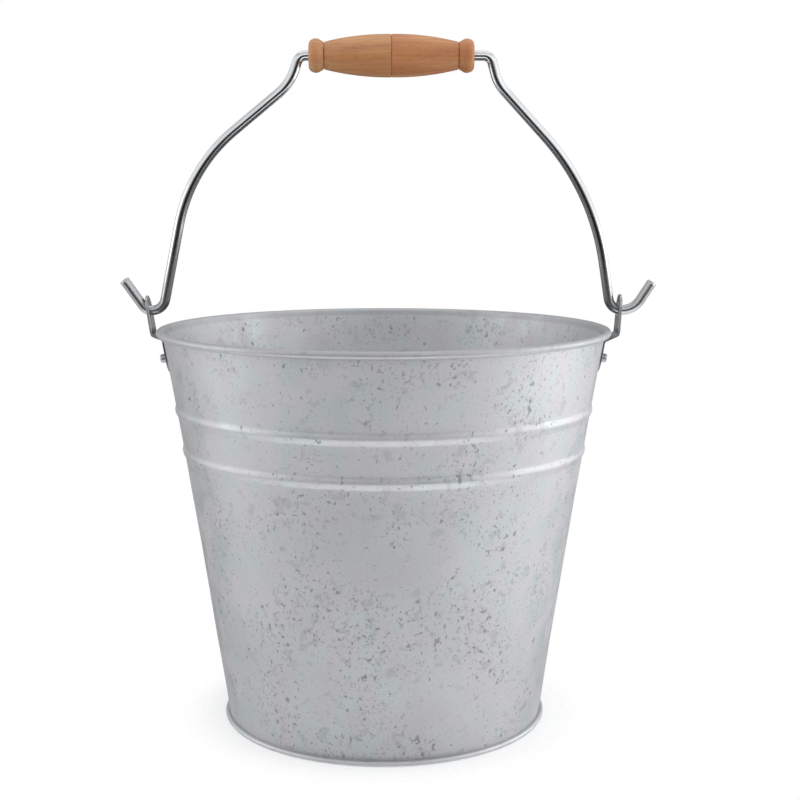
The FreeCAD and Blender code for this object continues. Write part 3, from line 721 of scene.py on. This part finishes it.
def ear_mesh(side):
    """A bent strip with an eye and a rivet hole, its edges rounded all round."""
    path = ear_path(side)
    holes = [((path.where(PIVOT_Z), 0.0), EYE_R, 6.0), ((path.where(RIVET_Z), 0.0), HOLE_R, 10.0)]
    loops = [ear_outline(path)] + [arc(at, radius, 360, 0, widest)[:-1] for at, radius, widest in holes]
    ways = [outward(loop) for loop in loops]
    inset = [[Vector(p) - way * EAR_EDGE for p, way in zip(*pair)] for pair in zip(loops, ways)]
    found, triangles, numbers = flat_net(path, holes, inset)

    def lift(spot, height):
        """A spot on the flat strip, at a height over its inner face, bent to the ear's shape."""
        point, way = path.at(spot.x)
        return point.x + way.y * height, spot.y, point.y - way.x * height

    points = [lift(spot, EAR_GAUGE) for spot in found] + [lift(spot, 0.0) for spot in found]
    count = len(found)
    faces = [list(t) for t in triangles] + [[n + count for n in reversed(t)] for t in triangles]
    start = 0
    for loop, way in zip(inset, ways):
        rows = [[numbers[start + n] for n in range(len(loop))]]
        for out, height in rounded_edge():
            rows.append(range(len(points), len(points) + len(loop)))
            points += [lift(p + w * out, height) for p, w in zip(loop, way)]
        rows.append([n + count for n in rows[0]])
        faces += [face for pair in zip(rows, rows[1:]) for face in ring_faces(*pair, len(loop))]
        start += len(loop)
    return points, faces


def build_ear(side, sign, material):
    """One ear, made as the right one and turned half round for the left."""
    points, faces = ear_mesh(side)
    turned = [(x * sign, y * sign, z) for x, y, z in points]
    name = f"ear_{side}"
    add_piece(f"{name}_strip", turned, faces, material, "bucket", [name], 50.0, True)


def rivet_profile(reach):
    """A rivet as (radius, height over the ear): peened head, shank, and flat cap at a reach below it."""
    dome = [(r, DOME_Z) for r in steps(0.0, DOME_R - DOME_BEND, 0.35)]
    dome += arc((DOME_R - DOME_BEND, DOME_Z - DOME_BEND), DOME_BEND, 90, 0, 7.5)[1:]
    dome += [(DOME_R, 0.5), (DOME_R, 0.15), (DOME_R - 0.15, 0.0), (SHANK_R, 0.0)]
    cap = [(SHANK_R, -reach), (CAP_R - 0.1, -reach), (CAP_R, -reach - 0.1)]
    cap += arc((CAP_R - CAP_BEND, -reach - CAP_Z + CAP_BEND), CAP_BEND, 0, -90, 15)
    cap += [(r, -reach - CAP_Z) for r in steps(CAP_R - 1.0, 0.0, 0.6)]
    return dome + cap


def build_rivet(side, sign, material):
    """A rivet square to the wall, with a beaten head outside the ear and a flat head inside the wall."""
    half_stack = (EAR_GAP + EAR_GAUGE + SHEET) / 2
    lean = (flare(RIVET_Z + 1) - flare(RIVET_Z - 1)) / 2
    way, across = Vector((1, 0, -lean)).normalized(), Vector((0, 1, 0))
    middle = Vector((flare(RIVET_Z) + half_stack - SHEET, 0, RIVET_Z))
    seat = middle + way * (half_stack + RIVET_SLACK)
    up = across.cross(way)

    def place(radius, height, angle):
        beaten = 0.07 * drift((radius * math.cos(angle), radius * math.sin(angle), height), 1.3, 8 + sign)
        height -= abs(beaten) * smooth(0.8, 2.2, height)
        spot = seat + way * height + (across * math.cos(angle) + up * math.sin(angle)) * radius
        return spot.x * sign, spot.y * sign, spot.z

    profile = rivet_profile(2 * (half_stack + RIVET_SLACK))
    points, faces = lathe(profile, round_angles(RIVET_SIDES), place)
    name = f"rivet_{side}"
    add_piece(f"{name}_peened", points, faces, material, "bucket", [name])


# ---------------------------------------------------------------------------------------------------
# The bail and its grip


def wire_sections(path):
    """Distances and radii along the wire, with a broken edge at each cut end."""
    tip = TIP_CHAMFER
    end = [(0.0, radius) for radius in (0.0, WIRE_R * 0.45, WIRE_R - tip)]
    end += [(tip / 2, WIRE_R - tip / 2), (tip, WIRE_R)]
    run = [(d, WIRE_R) for d in path.stations(2.2, 4.5) if tip + 0.4 < d < path.length - tip - 0.4]
    return end + run + [(path.length - d, r) for d, r in end[::-1]]


def wire_ring(path, distance, radius):
    """Points round the wire at a distance along it. The faces of its cut ends are a little uneven."""
    centre, way = path.at(distance)
    side = Vector((-way.y, way.x))
    uneven = 0.12 * smooth(WIRE_R - 0.2, WIRE_R - TIP_CHAMFER - 0.1, radius) * (1 if distance < 1 else -1)
    ring = []
    for angle in round_angles(WIRE_SIDES) if radius else [0.0]:
        across, y = radius * math.cos(angle), radius * math.sin(angle)
        spot = centre + side * across + way * (uneven * abs(drift((across, y, distance), 2.0, 11)))
        ring.append((spot.x, y, spot.y))
    return ring


def build_bail(material):
    """The bent wire, with a UV map that runs along it and round it in metres."""
    path = Path(BAIL)
    points, rows, places = [], [], []
    for distance, radius in wire_sections(path):
        ring = wire_ring(path, distance, radius)
        rows.append(range(len(points), len(points) + len(ring)))
        points += ring
        places += [(distance * MM, radius * MM * math.tau / WIRE_SIDES, n) for n in range(len(ring))]
    faces = [face for low, high in zip(rows, rows[1:]) for face in ring_faces(low, high, WIRE_SIDES)]
    piece = add_piece("bail_bent_wire", points, faces, material, "bail", ["bail_wire"], 50.0)
    layer = piece.data.uv_layers.new(name="along")
    for polygon in piece.data.polygons:
        side = polygon.index % WIRE_SIDES
        for corner in polygon.loop_indices:
            along, apart, n = places[piece.data.loops[corner].vertex_index]
            layer.data[corner].uv = along, apart * (n if n >= side else WIRE_SIDES)


def grip_bulb():
    """The grip's end bulb as (distance from the seam, radius), from the neck to its end face."""
    bulb = []
    for x in steps(NECK_X + GROOVE_HALF, BULB_X, 0.3):
        share = (BULB_X - x) / (BULB_X - NECK_X)
        drop = 0.35 * share * share + 0.65 * smooth(0.0, 1.0, share)
        bulb.append((x, BULB_R - (BULB_R - NECK_R) * drop))
    for angle in steps(90, 8, 6.0)[1:]:
        turn = math.radians(angle)
        x = BULB_X + (GRIP_LENGTH - BULB_X) * math.cos(turn)
        bulb.append((x, GRIP_END_R + (BULB_R - GRIP_END_R) * math.sin(turn) ** 0.8))
    return bulb


def grip_profile():
    """Half of the grip's section as (radius, distance from the seam): the outside, then the bore."""
    start, belly_end = (GRIP_GAP + BELLY_BREAK, BELLY_R), (NECK_X - GROOVE_HALF, NECK_R + 0.18)
    section = [(GRIP_GAP, BELLY_R - BELLY_BREAK), (GRIP_GAP + 0.08, BELLY_R - BELLY_BREAK + 0.15)]
    section += bulged(start, belly_end, BELLY_ARC, 0.9)
    section += [(NECK_X, NECK_R - GROOVE), (NECK_X + GROOVE_HALF * 0.7, NECK_R + 0.02)] + grip_bulb()
    section += [(GRIP_LENGTH, radius) for radius in (GRIP_END_R, 5.2, 4.3)]
    section += [(GRIP_LENGTH - 0.06, GRIP_BORE + BORE_EDGE), (GRIP_LENGTH - BORE_EDGE, GRIP_BORE)]
    section += [(x, GRIP_BORE) for x in steps(GRIP_LENGTH - 2.0, GRIP_GAP + 0.2, 4.0)]
    section += [(GRIP_GAP, GRIP_BORE + 0.2), (GRIP_GAP, 7.0)]
    return [(radius, x) for x, radius in section]


def build_grip(side, sign, material):
    """One turned half of the grip, with faint tool chatter on its outside."""
    def place(radius, distance, angle):
        turned = radius
        if radius > GRIP_BORE + 1:
            turned += 0.035 * drift((distance * 3, math.cos(angle), math.sin(angle)), 4.0, 20 + sign) - 0.02
        return GRIP_SEAM_X + sign * distance, turned * math.cos(angle), GRIP_Z + turned * math.sin(angle)

    points, faces = lathe(grip_profile(), round_angles(GRIP_SIDES), place)
    name = f"grip_half_{side}"
    add_piece(f"{name}_turned", points, faces, material, f"grip_{side}", [name], 34.0)


# ---------------------------------------------------------------------------------------------------
# The stage


def add_floor():
    """A pale round floor that fades into the white background."""
    s = Shader("floor_pale")
    place = s.places["Object"]
    tone = s.mix(s.noise(place, 3.0, 2.0), (0.93, 0.93, 0.93, 1), (0.95, 0.95, 0.95, 1))
    solid = s.band(s.length(place), *FLOOR_FADE, 1.0, 0.0)
    material = s.finish(Base_Color=tone, Roughness=0.9, Alpha=solid)
    mesh = bpy.data.meshes.new("floor")
    shell = bmesh.new()
    bmesh.ops.create_circle(shell, cap_ends=True, segments=96, radius=FLOOR_FADE[1])
    shell.to_mesh(mesh)
    shell.free()
    mesh.materials.append(material)
    floor = bpy.data.objects.new("floor", mesh)
    bpy.context.scene.collection.objects.link(floor)


def add_world():
    """Soft light all round, with less of it from straight ahead, from behind and from just below level.

    The camera sees plain white instead."""
    world = bpy.data.worlds.new("studio")
    bpy.context.scene.world = world
    world.use_nodes = True
    s = Nodes(world.node_tree)
    x, y, z = (s.axis(s.places["Generated"], name) for name in "XYZ")
    front, level = s.band(y, -0.93, -0.36, 1.0, 0.0), s.band(z, -0.60, -0.43)
    ahead = s.product(front, level, s.band(z, 0.03, 0.34, 1.0, 0.0))
    behind = s.band(y, 0.45, 0.92, 1.0, 0.30)
    rightward = s.band(x, -0.85, 0.90, 1.15, 1.50)
    below = s.product(s.band(z, -0.70, -0.34, 1.50, 0.38), s.band(y, -0.45, -0.05, 1.0, 0.80))
    above = s.band(z, 0.50, 0.90, 1.12, 0.55)
    height = s.node("ShaderNodeMix", {0: s.band(z, -0.06, 0.05), 2: below, 3: above})
    strength = s.product(behind, height, s.math("SUBTRACT", 1.0, ahead), rightward)
    light = s.node("ShaderNodeBackground", {"Color": (0.97, 0.985, 1.0, 1), "Strength": strength})
    white = s.node("ShaderNodeBackground", {"Color": (1, 1, 1, 1), "Strength": 1.0})
    seen = s.node("ShaderNodeLightPath", {}, "Is Camera Ray")
    s.close("ShaderNodeOutputWorld", s.node("ShaderNodeMixShader", {0: seen, 1: light, 2: white}))


def add_panel(name, place, target, size, watts):
    """A soft panel light aimed at a point."""
    lamp = bpy.data.lights.new(name, "AREA")
    lamp.shape, lamp.energy = "RECTANGLE", watts
    lamp.size, lamp.size_y = size
    holder = bpy.data.objects.new(name, lamp)
    holder.location = place
    aim = Vector(target) - Vector(place)
    holder.rotation_euler = aim.to_track_quat("-Z", "Y").to_euler()
    bpy.context.scene.collection.objects.link(holder)


def add_camera():
    """A camera in front of the bucket that looks slightly down on it."""
    lens = bpy.data.cameras.new("camera")
    lens.sensor_width, lens.lens = SENSOR_MM, LENS_MM
    holder = bpy.data.objects.new("camera", lens)
    holder.location = CAMERA_AT
    holder.rotation_euler = [math.radians(angle) for angle in CAMERA_TURN]
    bpy.context.scene.collection.objects.link(holder)
    bpy.context.scene.camera = holder


# ---------------------------------------------------------------------------------------------------
# Everything in its place

zinc = zinc_material()
build_wall(zinc)
build_bottom(zinc)
for material_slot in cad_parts["rim_wire"].material_slots:
    material_slot.material = core_material()

steel = ear_material()
rivet_metal = rivet_material()
build_bail(wire_material())
for hand, direction in (("left", -1), ("right", 1)):
    build_ear(hand, direction, steel)
    build_rivet(hand, direction, rivet_metal)
    build_grip(hand, direction, beech_material(f"beech_{hand}", *BEECH[hand]))

add_floor()
add_world()
for name, settings in PANELS.items():
    add_panel(name, *settings)
add_camera()
bpy.context.scene.view_settings.view_transform = "Standard"
